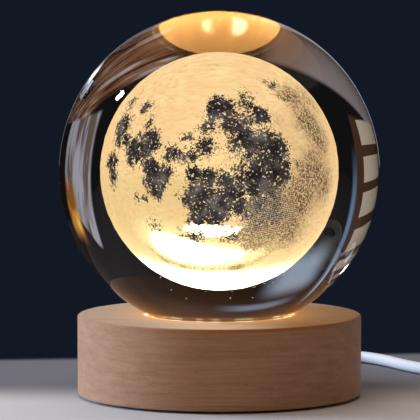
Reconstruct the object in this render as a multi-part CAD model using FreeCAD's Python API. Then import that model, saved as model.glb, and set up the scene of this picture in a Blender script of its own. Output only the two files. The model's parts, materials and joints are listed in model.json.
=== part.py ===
import FreeCAD, Part
import itertools
import math
import os

# Crystal ball moon lamp: a glass ball with a moon engraved inside it sits in the dished hole of a
# round wooden base, which holds the lights. A thin cord with a rocker switch ends in a USB plug.
# Millimetres, +Z up. The origin is on the table, under the centre of the base.

Vector = FreeCAD.Vector
X_AXIS = Vector(1, 0, 0)
Y_AXIS = Vector(0, 1, 0)
Z_AXIS = Vector(0, 0, 1)

# ---- Driving dimensions ----

# Glass ball and the moon engraved at its centre
ball_diameter = 80.0
moon_diameter = 39.2
moon_splits = 4                 # each edge of the icosahedron behind its facets is cut into so many

# Turned wooden base
base_diameter = 71.0
base_height = 20.0
top_edge_bevel = 1.0
foot_edge_bevel = 0.6
foot_rim_width = 3.5            # of wood left outside the cover
cover_seat_width = 7.0          # of the step that the cover is screwed to, round the pocket
board_shelf_height = 8.4        # the board's seat, above the foot of the wood
seat_width = 1.8                # the ball's seat, measured outwards from the light well
seat_clearance = 0.2            # between the ball and its seat

# Foot pad and bottom cover
pad_setback = 1.5               # of the pad's edge, inside the foot's rim
pad_thickness = 1.0
pad_proud = 0.6                 # how far the pad stands below the wood
cover_thickness = 1.6
cover_clearance = 0.3
cover_screw_length = 8.0
screw_count = 3
screw_first_angle = 30.0
screw_diameter = 2.2
screw_head_diameter = 4.2
screw_head_height = 1.1
screw_hole_clearance = 0.05
screw_tip_gap = 0.5             # left in the wood beyond each screw's tip

# Light board
board_thickness = 1.6
board_clearance = 3.0           # round the board, inside the pocket
board_screw_inset = 2.5         # from the board's edge to its screws
board_screw_setback = 3.0       # from the light well's wall to the board's screws
board_screw_length = 7.0
led_count = 6
led_ring_diameter = 20.0
led_first_angle = -67.0
led_size = (3.5, 2.8, 0.8)      # radial, across, high
led_window_size = (2.4, 1.9, 0.3)
resistor_size = (1.6, 3.2, 0.6)
resistor_spacing = 12.0
solder_pad_spacing = 4.0
solder_pad_inset = 9.0          # from the board's edge, towards its centre
solder_radius = 1.1
solder_height = 0.7

# Cord and its way out of the base
cord_diameter = 3.0
cord_sides = 8                  # the wound stretches and the tubes are drawn with flat sides
cord_height = 5.2               # of the hole in the back of the base
cord_hole_diameter = 5.0
cord_inner_length = 4.5         # of the sheath, inside the pocket
lead_diameter = 1.0
lead_bend = 1.6
lead_sides = 6
grommet_flange_diameter = 8.0
grommet_flange_thickness = 1.2
grommet_nose_length = 5.8
grommet_nose_wall = 0.8
grommet_nose_root = 0.3         # the nose starts so much wider than the sleeve
grommet_flange_bevel = 0.4
fit_clearance = 0.05
tie_width = 2.0
tie_thickness = 0.8
tie_head_size = 3.0
tie_wall_gap = 0.8              # to the pocket's wall

# Rocker switch in the cord
switch_length = 38.0
switch_width = 14.0
switch_height = 11.0
switch_end_width = 7.0
switch_waist_length = 20.0      # its middle stretch, at full width
switch_parting_height = 5.0     # the two shells meet at the cord's centre
switch_wall = 1.2
switch_edge_round = 1.0
switch_place = Vector(64.0, -3.0, 0)
rocker_width = 7.4
rocker_sweep_radius = 6.6
rocker_gap = 0.3
rocker_pivot_height = 8.4
rocker_valley_height = 2.9      # of its top above the pivot
rocker_belly_height = 1.6       # of its underside below the pivot
rocker_belly_length = 8.0
rocker_tilt = 10.0              # each way from level
pivot_diameter = 1.6
pivot_clearance = 0.05
pivot_end_gap = 0.15
cheek_thickness = 1.2
cheek_length = 4.8
terminal_size = (3.0, 4.2, 0.5)
terminal_spacing = 11.0
terminal_post_height = 2.6
switch_screw_diameter = 1.8
switch_screw_head_diameter = 3.0
switch_screw_head_height = 1.0
switch_screw_spacing = 26.0
switch_boss_wall = 0.9

# Wound length of cord, lying beside the lamp
coil_centre = Vector(96.0, -13.0, 0)
coil_outer_radius = 22.8        # of the outermost turn's centre line
coil_turns = 3                  # in each of its two layers
coil_gap = 0.45                 # between neighbouring turns
coil_strap_width = 5.0
coil_strap_thickness = 0.6
coil_strap_gap = 0.3            # above and outside the turns
coil_strap_slack = 1.2          # inside them, where they curve away

# USB plug on the cord's end
plug_shell_size = (12.0, 4.5)
plug_shell_reach = 12.0
plug_shell_depth = 6.0          # inside the moulded grip
plug_shell_wall = 0.3
plug_shell_round = 0.6
plug_window_size = 2.0
plug_window_spacing = 5.0
plug_window_setback = 5.0
plug_tongue_size = (11.0, 1.8)
plug_tongue_setback = 0.5
plug_contact_count = 4
plug_contact_size = (1.2, 0.15)
plug_contact_pitch = 2.3
plug_contact_setback = 2.5
grip_size = (15.6, 7.8)
grip_length = 21.0
grip_round = 2.0
grip_end_bevel = 0.8
boot_length = 8.0
boot_ribs = 4
boot_rib_height = 0.5

# Cord routes: chosen points, from each exit to the next piece
cord_to_switch_points = [
    (0.0, 42.5, 5.2), (0.0, 48.0, 5.2), (1.6, 55.6, 2.8), (6.6, 62.6, 1.6), (14.0, 67.6, 1.6),
    (24.5, 69.8, 1.6), (37.2, 69.4, 1.6), (44.4, 60.2, 1.6), (49.2, 48.8, 1.6), (55.2, 38.6, 1.6),
    (59.8, 32.0, 1.6), (63.0, 26.2, 2.8), (64.0, 20.6, 5.0), (64.0, 16.0, 5.0)]
cord_to_coil_points = [
    (64.0, -22.0, 5.0), (64.0, -26.4, 5.0), (65.2, -32.6, 3.0), (70.6, -37.6, 1.7), (79.4, -38.4, 1.8),
    (88.2, -35.8, 2.1), (93.0, -35.8, 2.1)]
cord_tail_points = [
    (93.0, 9.8, 5.55), (88.4, 9.8, 5.55), (81.0, 12.0, 3.2), (76.0, 18.6, 1.7), (75.4, 27.4, 1.7),
    (77.4, 34.8, 2.6), (78.0, 39.4, 3.9), (78.0, 43.6, 3.9)]

# ---- Sizes worked out from those above ----

ball_radius = ball_diameter / 2
moon_radius = moon_diameter / 2
base_radius = base_diameter / 2
rebate_radius = base_radius - foot_rim_width
pocket_radius = rebate_radius - cover_seat_width
cover_screw_ring_radius = (rebate_radius + pocket_radius) / 2
board_radius = pocket_radius - board_clearance
board_screw_ring_radius = board_radius - board_screw_inset
throat_radius = board_screw_ring_radius - board_screw_setback
solder_pad_offset = board_radius - solder_pad_inset
cord_inner_end = pocket_radius - cord_inner_length
wood_foot = pad_proud
wood_top = wood_foot + base_height
seat_rim_radius = throat_radius + seat_width
seat_contact_radius = throat_radius + seat_width / 2
seat_angle = math.asin(seat_contact_radius / ball_radius)
seat_depth = seat_width * math.tan(seat_angle)
ball_height = (wood_top - seat_depth / 2 + ball_radius * math.cos(seat_angle)
               + seat_clearance / math.cos(seat_angle))
ball_centre = Vector(0, 0, ball_height)
cover_top = pad_thickness + cover_thickness
board_top = wood_foot + board_shelf_height
board_under = board_top - board_thickness
cord_radius = cord_diameter / 2
cord_bore_radius = cord_radius + fit_clearance
grommet_outer_end = base_radius + grommet_flange_thickness + grommet_nose_length
cord_axis_point = Vector(0, 0, cord_height)
coil_pitch = cord_diameter + coil_gap
coil_floor = coil_strap_thickness + cord_radius
plug_height = grip_size[1] / 2
plug_place = Vector(*cord_tail_points[-1][:2], plug_height)


# ---- Helpers ----

def turned(points, axis_point=Vector(0, 0, 0), axis=Z_AXIS):
    """A solid of revolution: points give (distance from the axis, distance along it)."""
    outline = [axis_point + X_AXIS * reach + axis * along for reach, along in points]
    face = Part.Face(Part.makePolygon(outline + outline[:1]))
    return face.revolve(axis_point, axis, 360)


def bar(size, centre):
    """A box by its size and the middle of its underside."""
    corner = centre - Vector(size[0] / 2, size[1] / 2, 0)
    return Part.makeBox(size[0], size[1], size[2], corner)


def round_bar(width, depth, height, centre, rounding):
    """A box with rounded upright edges, by the middle of its underside."""
    block = bar((width, depth, height), centre)
    upright = [edge for edge in block.Edges if abs(edge.Vertexes[0].Z - edge.Vertexes[1].Z) > height / 2]
    return block.makeFillet(rounding, upright)


def on_ring(count, radius, first_angle, height):
    """The points of an evenly spaced ring, with the angle of each."""
    for number in range(count):
        angle = first_angle + 360.0 * number / count
        turn = math.radians(angle)
        yield Vector(radius * math.cos(turn), radius * math.sin(turn), height), angle


def spun(shape, angle, place):
    """A copy of a shape made at the origin, turned about Z and moved to its place."""
    moved = shape.copy()
    moved.rotate(Vector(0, 0, 0), Z_AXIS, angle)
    moved.translate(place)
    return moved


def arc_between(start, heading, end):
    """The arc that leaves start along heading and reaches end."""
    chord = end - start
    across = heading.cross(chord)
    if across.Length < 1e-7 * chord.Length:
        return Part.LineSegment(start, end).toShape()
    inward = across.cross(heading).normalize()
    radius = chord.dot(chord) / (2 * chord.dot(inward))
    centre = start + inward * radius
    middle = ((start - centre) + (end - centre)).normalize()
    if heading.dot(chord) < 0:
        middle = middle * -1
    return Part.Arc(start, centre + middle * radius, end).toShape()


def biarc(start, start_heading, end, end_heading):
    """Two arcs that meet smoothly and join two points along their given headings."""
    span = end - start
    headings = start_heading + end_heading
    square = headings.dot(headings) - 4
    slope = -2 * span.dot(headings)
    if abs(square) < 1e-9:
        reach = -span.dot(span) / slope
    else:
        root = math.sqrt(slope * slope - 4 * square * span.dot(span))
        reach = max((-slope + root) / (2 * square), (-slope - root) / (2 * square))
    first_corner = start + start_heading * reach
    last_corner = end - end_heading * reach
    joint = (first_corner + last_corner) * 0.5
    middle_heading = (last_corner - first_corner).normalize()
    return [arc_between(start, start_heading, joint), arc_between(joint, middle_heading, end)]


def rounded_path(points, name):
    """Straight runs joined by tangent arcs, each as large as its two runs allow."""
    corners = [Vector(*point) for point in points]
    edges = []
    reached = corners[0]
    radii = []
    for before, corner, after in zip(corners, corners[1:], corners[2:]):
        back = (before - corner).normalize()
        ahead = (after - corner).normalize()
        shorter = min((before - corner).Length, (after - corner).Length)
        half_turn = (math.pi - back.getAngle(ahead)) / 2
        reach = 0.45 * shorter
        radius = reach / math.tan(half_turn)
        radii.append(radius)
        arc_start = corner + back * reach
        arc_end = corner + ahead * reach
        depth = radius / math.cos(half_turn) - radius
        arc_middle = corner + (back + ahead).normalize() * depth
        edges.append(Part.LineSegment(reached, arc_start).toShape())
        edges.append(Part.Arc(arc_start, arc_middle, arc_end).toShape())
        reached = arc_end
    edges.append(Part.LineSegment(reached, corners[-1]).toShape())
    print(name, "radii", " ".join(f"{radius:.1f}" for radius in radii))
    return Part.Wire(edges)


def flat_sided_ring(centre, heading, radius, sides):
    """A regular polygon square to heading, its flats as far out as the round surface it stands for."""
    across = heading.cross(Z_AXIS).normalize()
    raised = across.cross(heading).normalize()
    corner_radius = radius / math.cos(math.pi / sides)
    corners = []
    for number in range(sides):
        angle = 2 * math.pi * (number + 0.5) / sides
        corners.append(centre + across * (corner_radius * math.cos(angle))
                       + raised * (corner_radius * math.sin(angle)))
    return Part.makePolygon(corners + corners[:1])


def swept_tube(path, name, radius, sides):
    """A solid along a path; its volume is compared with section times length."""
    first = path.OrderedEdges[0]
    start = first.valueAt(first.FirstParameter)
    heading = first.tangentAt(first.FirstParameter).normalize()
    section = flat_sided_ring(start, heading, radius, sides)
    sweep = Part.BRepOffsetAPI.MakePipeShell(path)
    sweep.add(section)
    sweep.build()
    sweep.makeSolid()
    tube = sweep.shape()
    expected = Part.Face(section).Area * path.Length
    print(name, f"length {path.Length:.1f} volume {tube.Volume:.1f} expected {expected:.1f}")
    return tube


def routed_cord(points, name):
    return swept_tube(rounded_path(points, name), name, cord_radius, cord_sides)


# ---- Ball and moon ----

def geodesic_ball(radius, splits):
    """A facetted ball: each face of an icosahedron is split, and its corners are pushed out."""
    golden = (1 + math.sqrt(5)) / 2
    corners = []
    for short, far in itertools.product((-1, 1), (-golden, golden)):
        corners += [Vector(0, short, far), Vector(short, far, 0), Vector(far, 0, short)]
    facets = []
    for a, b, c in itertools.combinations(corners, 3):
        if max((a - b).Length, (b - c).Length, (c - a).Length) > 2.1:
            continue

        def grid_point(i, j):
            return (a + (b - a) * (i / splits) + (c - a) * (j / splits)).normalize() * radius

        for i in range(splits):
            for j in range(splits - i):
                facets.append((grid_point(i, j), grid_point(i + 1, j), grid_point(i, j + 1)))
                if i + j < splits - 1:
                    facets.append((grid_point(i + 1, j), grid_point(i + 1, j + 1), grid_point(i, j + 1)))
    shell = Part.Shell([Part.Face(Part.makePolygon([p, q, r, p])) for p, q, r in facets])
    shell.sewShape()
    solid = Part.Solid(shell)
    if solid.Volume < 0:
        solid.reverse()
    solid.translate(ball_centre)
    return solid


def crystal_ball():
    """The polished glass, less the space of the engraving at its centre."""
    return Part.makeSphere(ball_radius, ball_centre).cut(geodesic_ball(moon_radius, moon_splits))


def engraved_moon():
    """The cloud of fine cracks that draws the moon, as one facetted ball."""
    return geodesic_ball(moon_radius, moon_splits)


# ---- Wooden base ----

def wood_base():
    """Turned from one piece: dished seat and light well above, pocket and rebate underneath."""
    wood = turned([
        (rebate_radius, wood_foot), (base_radius - foot_edge_bevel, wood_foot),
        (base_radius, wood_foot + foot_edge_bevel), (base_radius, wood_top - top_edge_bevel),
        (base_radius - top_edge_bevel, wood_top), (seat_rim_radius, wood_top),
        (throat_radius, wood_top - seat_depth), (throat_radius, board_top), (pocket_radius, board_top),
        (pocket_radius, cover_top), (rebate_radius, cover_top)])
    cuts = [Part.makeCylinder(cord_hole_diameter / 2, base_radius, cord_axis_point, Y_AXIS)]
    hole_radius = screw_diameter / 2 + screw_hole_clearance
    for place, _ in on_ring(screw_count, cover_screw_ring_radius, screw_first_angle, pad_thickness):
        cuts.append(Part.makeCylinder(hole_radius, cover_screw_length + screw_tip_gap, place))
    for place, _ in on_ring(screw_count, board_screw_ring_radius, screw_first_angle, board_under):
        cuts.append(Part.makeCylinder(hole_radius, board_screw_length + screw_tip_gap, place))
    return wood.cut(cuts)


def anti_slip_pad():
    """A soft disc stuck under the cover, which hides its screws."""
    return Part.makeCylinder(rebate_radius - pad_setback, pad_thickness)


def bottom_cover():
    """A flat disc in the rebate, countersunk for its screws."""
    cover = Part.makeCylinder(rebate_radius - cover_clearance, cover_thickness, Vector(0, 0, pad_thickness))
    for place, _ in on_ring(screw_count, cover_screw_ring_radius, screw_first_angle, pad_thickness):
        cover = cover.cut(countersunk_screw(place, screw_hole_clearance))
    return cover


def countersunk_screw(place, clearance=0.0):
    """A flat-headed wood screw pointing up, its head flush at its place."""
    head_radius = screw_head_diameter / 2 + clearance
    shank_radius = screw_diameter / 2 + clearance
    return turned([(0, 0), (head_radius, 0), (shank_radius, screw_head_height),
                   (shank_radius, cover_screw_length), (0, cover_screw_length)], place)


def cover_screws():
    ring = on_ring(screw_count, cover_screw_ring_radius, screw_first_angle, pad_thickness)
    return Part.makeCompound([countersunk_screw(place) for place, _ in ring])


def board_screws():
    """Screws that hold the board up against its shelf."""
    shank_radius = screw_diameter / 2
    head_radius = screw_head_diameter / 2
    ring = on_ring(screw_count, board_screw_ring_radius, screw_first_angle, board_under)
    return Part.makeCompound([turned([
        (0, -screw_head_height), (head_radius, -screw_head_height), (head_radius, 0), (shank_radius, 0),
        (shank_radius, board_screw_length), (0, board_screw_length)], place) for place, _ in ring])


# ---- Lights ----

def led_board():
    """A round circuit board, held under the light well."""
    board = Part.makeCylinder(board_radius, board_thickness, Vector(0, 0, board_under))
    hole_radius = screw_diameter / 2 + screw_hole_clearance
    for place, _ in on_ring(screw_count, board_screw_ring_radius, screw_first_angle, board_under):
        board = board.cut(Part.makeCylinder(hole_radius, board_thickness, place))
    return board


def led_window():
    return bar(led_window_size, Vector(0, 0, led_size[2] - led_window_size[2]))


def led_windows():
    """The yellow lens set into each light's face."""
    ring = on_ring(led_count, led_ring_diameter / 2, led_first_angle, board_top)
    return Part.makeCompound([spun(led_window(), angle, place) for place, angle in ring])


def led_packages():
    """The white surface-mounted bodies, around their windows."""
    package = bar(led_size, Vector(0, 0, 0)).cut(led_window())
    ring = on_ring(led_count, led_ring_diameter / 2, led_first_angle, board_top)
    return Part.makeCompound([spun(package, angle, place) for place, angle in ring])


def resistors():
    """Two current-limiting resistors on the board's underside."""
    height = board_under - resistor_size[2]
    sides = (-resistor_spacing / 2, resistor_spacing / 2)
    return Part.makeCompound([bar(resistor_size, Vector(side, 0, height)) for side in sides])


def lead(side, name):
    """One insulated lead, from the sheath's end up to its soldered pad."""
    toward_pad = Y_AXIS * -1
    pad_x = side * solder_pad_spacing / 2
    start = Vector(side * lead_diameter * 0.6, cord_inner_end, cord_height)
    below_pad = Vector(pad_x, solder_pad_offset, cord_height)
    pad = Vector(pad_x, solder_pad_offset, board_under)
    bend = min(lead_bend, (pad - below_pad).Length * 0.8)
    bend_start = below_pad + Y_AXIS * bend
    bend_end = below_pad + Z_AXIS * bend
    spread = bend_start + Y_AXIS * bend
    path = Part.Wire(biarc(start, toward_pad, spread, toward_pad) + [
        Part.LineSegment(spread, bend_start).toShape(), arc_between(bend_start, toward_pad, bend_end),
        Part.LineSegment(bend_end, pad).toShape()])
    return swept_tube(path, name, lead_diameter / 2, lead_sides)


def solder_joints():
    """A cone of solder round each lead, under the board."""
    inner = lead_diameter / 2 / math.cos(math.pi / lead_sides) + fit_clearance
    collars = []
    for side in (-1, 1):
        place = Vector(side * solder_pad_spacing / 2, solder_pad_offset, board_under)
        collars.append(turned([(inner, 0), (solder_radius, 0), (inner, -solder_height)], place))
    return Part.makeCompound(collars)


# ---- The cord's way out ----

def cord_sheath():
    """The cord's first stretch, inside the base and through its grommet."""
    length = grommet_outer_end - cord_inner_end
    return Part.makeCylinder(cord_radius, length, cord_axis_point + Y_AXIS * cord_inner_end, Y_AXIS)


def cord_grommet():
    """A sleeve in the hole, with a flange and a tapered nose outside."""
    inner_end = pocket_radius + fit_clearance
    sleeve = cord_hole_diameter / 2 - fit_clearance
    flange = grommet_flange_diameter / 2
    flange_end = base_radius + grommet_flange_thickness
    bevel = grommet_flange_bevel
    outline = [
        (cord_bore_radius, inner_end), (sleeve, inner_end), (sleeve, base_radius), (flange, base_radius),
        (flange, flange_end - bevel), (flange - bevel, flange_end), (sleeve + grommet_nose_root, flange_end),
        (cord_bore_radius + grommet_nose_wall, grommet_outer_end), (cord_bore_radius, grommet_outer_end)]
    return turned(outline, cord_axis_point, Y_AXIS)


def cable_tie():
    """A strap pulled tight round the sheath inside the pocket, so the cord can't be drawn out."""
    far_end = pocket_radius - tie_wall_gap
    start = cord_axis_point + Y_AXIS * (far_end - tie_width)
    band = Part.makeCylinder(cord_bore_radius + tie_thickness, tie_width, start, Y_AXIS)
    head_middle = start + Vector(cord_bore_radius + tie_head_size / 2, tie_width / 2, -tie_head_size / 2)
    head = bar((tie_head_size, tie_width, tie_head_size), head_middle)
    tie = band.fuse(head).cut(Part.makeCylinder(cord_bore_radius, tie_width, start, Y_AXIS))
    return tie.removeSplitter()


# ---- Wound cord ----

def coil_stations():
    """Where each half turn starts: (place along the entry line, height)."""
    low = coil_floor
    high = coil_floor + coil_pitch
    place = coil_outer_radius
    stations = [(place, low)]
    direction = -1
    radius = coil_outer_radius
    for _ in range(2 * coil_turns):
        place += direction * 2 * radius
        stations.append((place, low))
        direction = -direction
        radius -= coil_pitch / 2
    place += direction * 2 * radius
    stations.append((place, high))
    for _ in range(2 * coil_turns):
        direction = -direction
        radius += coil_pitch / 2
        place += direction * 2 * radius
        stations.append((place, high))
    return stations


def coil_path():
    """Two layers: the cord spirals in on the lower one, climbs, and spirals out on the upper one."""
    side = Vector(0, -1, 0)
    ahead = X_AXIS
    points = [coil_centre + side * place + Z_AXIS * height for place, height in coil_stations()]
    headings = [ahead if number % 2 == 0 else ahead * -1 for number in range(len(points))]
    edges = [Part.LineSegment(points[0] - headings[0] * cord_diameter, points[0]).toShape()]
    for number in range(len(points) - 1):
        edges += biarc(points[number], headings[number], points[number + 1], headings[number + 1])
    edges.append(Part.LineSegment(points[-1], points[-1] + headings[-1] * cord_diameter).toShape())
    return Part.Wire(edges)


def least_gap(path, step=2.0):
    """The least gap between the cord's own turns, from points along its centre line."""
    points = path.discretize(Distance=step)
    apart = int(math.pi * cord_diameter * 2 / step)
    nearest = min((p - q).Length for i, p in enumerate(points) for q in points[i + apart:])
    return nearest - cord_diameter


def cord_coil():
    path = coil_path()
    print(f"cord_coil least gap {least_gap(path):.2f}")
    return swept_tube(path, "cord_coil", cord_radius, cord_sides)


def strap_block(width, height, rounding):
    """A bar as long as the strap is wide, its four long edges rounded."""
    block = Part.makeBox(width, coil_strap_width, height)
    long_edges = [edge for edge in block.Edges if edge.BoundBox.YLength > coil_strap_width / 2]
    return block.makeFillet(rounding, long_edges)


def coil_strap():
    """A flat strap round the bundle of turns, on the side towards the switch."""
    turns_width = coil_pitch * (coil_turns - 1) + cord_diameter
    room_width = turns_width + coil_strap_gap + coil_strap_slack
    room_height = coil_pitch + cord_diameter + coil_strap_gap
    thickness = coil_strap_thickness
    room = strap_block(room_width, room_height, cord_radius - thickness)
    room.translate(Vector(thickness, 0, thickness))
    strap = strap_block(room_width + 2 * thickness, room_height + 2 * thickness, cord_radius).cut(room)
    outer_reach = coil_outer_radius - coil_pitch / 2 + cord_radius + coil_strap_gap + thickness
    strap.translate(coil_centre - Vector(outer_reach, coil_strap_width / 2, 0))
    return strap


# ---- Rocker switch ----

def switch_outline(inset):
    """The switch's outline in plan, narrower at both ends, with rounded corners."""
    half_width = switch_width / 2 - inset
    half_end = switch_end_width / 2 - inset
    half_waist = switch_waist_length / 2
    half_length = switch_length / 2 - inset
    corners = [(half_width, -half_waist), (half_width, half_waist), (half_end, half_length),
               (-half_end, half_length), (-half_width, half_waist), (-half_width, -half_waist),
               (-half_end, -half_length), (half_end, -half_length)]
    outline = [Vector(x, y, 0) for x, y in corners]
    return Part.Face(Part.makePolygon(outline + outline[:1]))


def switch_body():
    """The whole switch as one block, rounded along its top and bottom edges."""
    block = switch_outline(0).extrude(Z_AXIS * switch_height)
    flat = [edge for edge in block.Edges if edge.BoundBox.ZLength < 0.1]
    return block.makeFillet(switch_edge_round, flat)


def switch_hollow():
    hollow = switch_outline(switch_wall).extrude(Z_AXIS * (switch_height - 2 * switch_wall))
    hollow.translate(Z_AXIS * switch_wall)
    return hollow


def switch_end_channels():
    """The holes for the cord through both end walls, along the parting line."""
    start = Vector(0, -switch_length / 2, switch_parting_height)
    channel = Part.makeCylinder(cord_bore_radius, switch_length, start, Y_AXIS)
    return channel.cut(bar((switch_width, switch_length - 2 * switch_wall, switch_height), Vector(0, 0, 0)))


def below_parting():
    return bar((2 * switch_width, 2 * switch_length, switch_parting_height), Vector(0, 0, 0))


def switch_screw_places():
    return [Vector(0, sign * switch_screw_spacing / 2, 0) for sign in (-1, 1)]


def switch_screw(place, clearance=0.0):
    """A small screw from below, into the upper shell's boss."""
    head = switch_screw_head_diameter / 2 + clearance
    shank = switch_screw_diameter / 2 + clearance
    tip = switch_height - 2 * switch_wall
    return turned([(0, 0), (head, 0), (head, switch_screw_head_height), (shank, switch_screw_head_height),
                   (shank, tip), (0, tip)], place)


def screw_bosses(half, wall):
    """A post round each screw, within one half of the switch."""
    radius = switch_screw_head_diameter / 2 + wall
    posts = [Part.makeCylinder(radius, switch_height, place).common(half) for place in switch_screw_places()]
    return Part.makeCompound(posts)


def switch_lower_shell():
    """The lower half, with a boss round each screw."""
    half = switch_body().common(below_parting())
    shell = half.cut(switch_hollow()).fuse(screw_bosses(half, switch_boss_wall))
    shell = shell.cut([switch_screw(place, fit_clearance) for place in switch_screw_places()])
    return shell.cut(switch_end_channels()).removeSplitter()


def switch_upper_shell():
    """The upper half: a window for the rocker between two cheeks that carry its pivot."""
    half = switch_body().cut(below_parting())
    shell = half.cut(switch_hollow()).fuse(screw_bosses(half, switch_boss_wall / 2))
    half_window = rocker_width / 2 + rocker_gap
    cheek_bottom = rocker_pivot_height - pivot_diameter
    cheek_size = (cheek_thickness, cheek_length, switch_height - switch_wall / 2 - cheek_bottom)
    for side in (-1, 1):
        cheek_middle = side * (half_window + cheek_thickness / 2)
        shell = shell.fuse(bar(cheek_size, Vector(cheek_middle, 0, cheek_bottom)))
    window_size = (2 * half_window, 2 * (rocker_sweep_radius + rocker_gap), switch_height)
    shell = shell.cut(bar(window_size, Vector(0, 0, switch_parting_height)))
    pivot_reach = half_window + cheek_thickness
    pivot_hole = Part.makeCylinder(pivot_diameter / 2 + pivot_clearance, 2 * pivot_reach,
                                   Vector(-pivot_reach, 0, rocker_pivot_height), X_AXIS)
    screws = [switch_screw(place, fit_clearance) for place in switch_screw_places()]
    return shell.cut([pivot_hole, switch_end_channels()] + screws).removeSplitter()


def rocker():
    """A rocker whose ends are arcs about its pivot, made level and then tilted to its ON side."""
    beyond = 2 * rocker_sweep_radius
    high = rocker_valley_height + beyond * math.tan(math.radians(rocker_tilt))
    belly = -rocker_belly_height
    half_belly = rocker_belly_length / 2
    outline = [Vector(0, y, z) for y, z in (
        (0, rocker_valley_height), (beyond, high), (beyond, 0), (rocker_sweep_radius, 0), (half_belly, belly),
        (-half_belly, belly), (-rocker_sweep_radius, 0), (-beyond, 0), (-beyond, high))]
    half_width = X_AXIS * (rocker_width / 2)
    body = Part.Face(Part.makePolygon(outline + outline[:1])).extrude(half_width * 2)
    body.translate(half_width * -1)
    body = body.common(Part.makeCylinder(rocker_sweep_radius, rocker_width, half_width * -1, X_AXIS))
    half_pivot = X_AXIS * (rocker_width / 2 + rocker_gap + cheek_thickness - pivot_end_gap)
    body = body.fuse(Part.makeCylinder(pivot_diameter / 2, 2 * half_pivot.x, half_pivot * -1, X_AXIS))
    body.rotate(Vector(0, 0, 0), X_AXIS, -rocker_tilt)
    body.translate(Z_AXIS * rocker_pivot_height)
    return body.removeSplitter()


def switch_terminals():
    """Two brass strips in the lower shell, each with an upright contact at its inner end."""
    width, length, thickness = terminal_size
    strips = []
    for side in (-1, 1):
        strip = bar(terminal_size, Vector(0, side * terminal_spacing / 2, switch_wall))
        post_place = side * (terminal_spacing - length + thickness) / 2
        post = bar((width, thickness, terminal_post_height), Vector(0, post_place, switch_wall))
        strips.append(strip.fuse(post).removeSplitter())
    return Part.makeCompound(strips)


def switch_screws():
    return Part.makeCompound([switch_screw(place) for place in switch_screw_places()])


def at_switch(shape):
    """A shape made at the origin, moved to where the switch lies."""
    shape.translate(switch_place)
    return shape


# ---- USB plug ----

def plug_tube(width, height, rounding, length, start):
    """A rounded bar along +Y, by the middle of its back end."""
    upright = round_bar(width, height, length, Vector(0, 0, 0), rounding)
    upright.rotate(Vector(0, 0, 0), X_AXIS, -90)
    upright.translate(plug_place + Y_AXIS * start)
    return upright


def plug_grip():
    """The moulded grip and its ribbed boot, round the cord's end."""
    grip = plug_tube(*grip_size, grip_round, grip_length, boot_length)
    edges = [edge for edge in grip.Edges if edge.BoundBox.YLength < 0.1]
    grip = grip.makeChamfer(grip_end_bevel, edges)
    neck = cord_bore_radius + grommet_nose_wall
    thick = grip_size[1] / 2 - grip_end_bevel
    outline = [(0, 0), (neck, 0)]
    for rib in range(boot_ribs):
        back = boot_length * (rib + 0.25) / boot_ribs
        front = boot_length * (rib + 0.75) / boot_ribs
        radius = neck + (thick - neck) * (rib + 0.5) / boot_ribs
        groove = radius - boot_rib_height
        outline += [(groove, back), (radius, back), (radius, front), (groove, front)]
    front_end = boot_length + grip_end_bevel
    outline += [(thick, boot_length), (thick, front_end), (0, front_end)]
    grip = grip.fuse(turned(outline, plug_place, Y_AXIS))
    shell_start = boot_length + grip_length - plug_shell_depth
    socket = plug_tube(*plug_shell_size, plug_shell_round, plug_shell_depth, shell_start)
    return grip.cut(socket).removeSplitter()


def plug_shell():
    """The folded steel sleeve, with two latch windows in each broad face."""
    start = boot_length + grip_length - plug_shell_depth
    length = plug_shell_depth + plug_shell_reach
    inner_width = plug_shell_size[0] - 2 * plug_shell_wall
    inner_height = plug_shell_size[1] - 2 * plug_shell_wall
    inner_round = plug_shell_round - plug_shell_wall
    sleeve = plug_tube(*plug_shell_size, plug_shell_round, length, start)
    sleeve = sleeve.cut(plug_tube(inner_width, inner_height, inner_round, length, start))
    window_y = start + length - plug_window_setback - plug_window_size
    for side in (-1, 1):
        window = bar((plug_window_size, plug_window_size, 2 * plug_shell_size[1]),
                     plug_place + Vector(side * plug_window_spacing / 2, window_y, -plug_shell_size[1]))
        sleeve = sleeve.cut(window)
    return sleeve


def plug_tongue():
    """The insulating tongue, thick at the back, that carries the contacts."""
    start = boot_length + grip_length - plug_shell_depth
    inner_height = plug_shell_size[1] - 2 * plug_shell_wall
    back = bar((plug_tongue_size[0], plug_shell_depth, inner_height - 2 * fit_clearance),
               plug_place + Vector(0, start + plug_shell_depth / 2, -inner_height / 2 + fit_clearance))
    reach = plug_shell_reach - plug_tongue_setback
    front = bar((plug_tongue_size[0], reach, plug_tongue_size[1]),
                plug_place + Vector(0, start + plug_shell_depth + reach / 2,
                                    inner_height / 2 - fit_clearance - plug_tongue_size[1]))
    return back.fuse(front).removeSplitter()


def plug_contacts():
    """Four gilt strips along the tongue's free face."""
    start = boot_length + grip_length
    inner_height = plug_shell_size[1] - 2 * plug_shell_wall
    face = inner_height / 2 - fit_clearance - plug_tongue_size[1] - plug_contact_size[1]
    length = plug_shell_reach - plug_contact_setback
    strips = []
    for number in range(plug_contact_count):
        across = (number - (plug_contact_count - 1) / 2) * plug_contact_pitch
        strips.append(bar((plug_contact_size[0], length, plug_contact_size[1]),
                          plug_place + Vector(across, start + length / 2, face)))
    return Part.makeCompound(strips)


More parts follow.
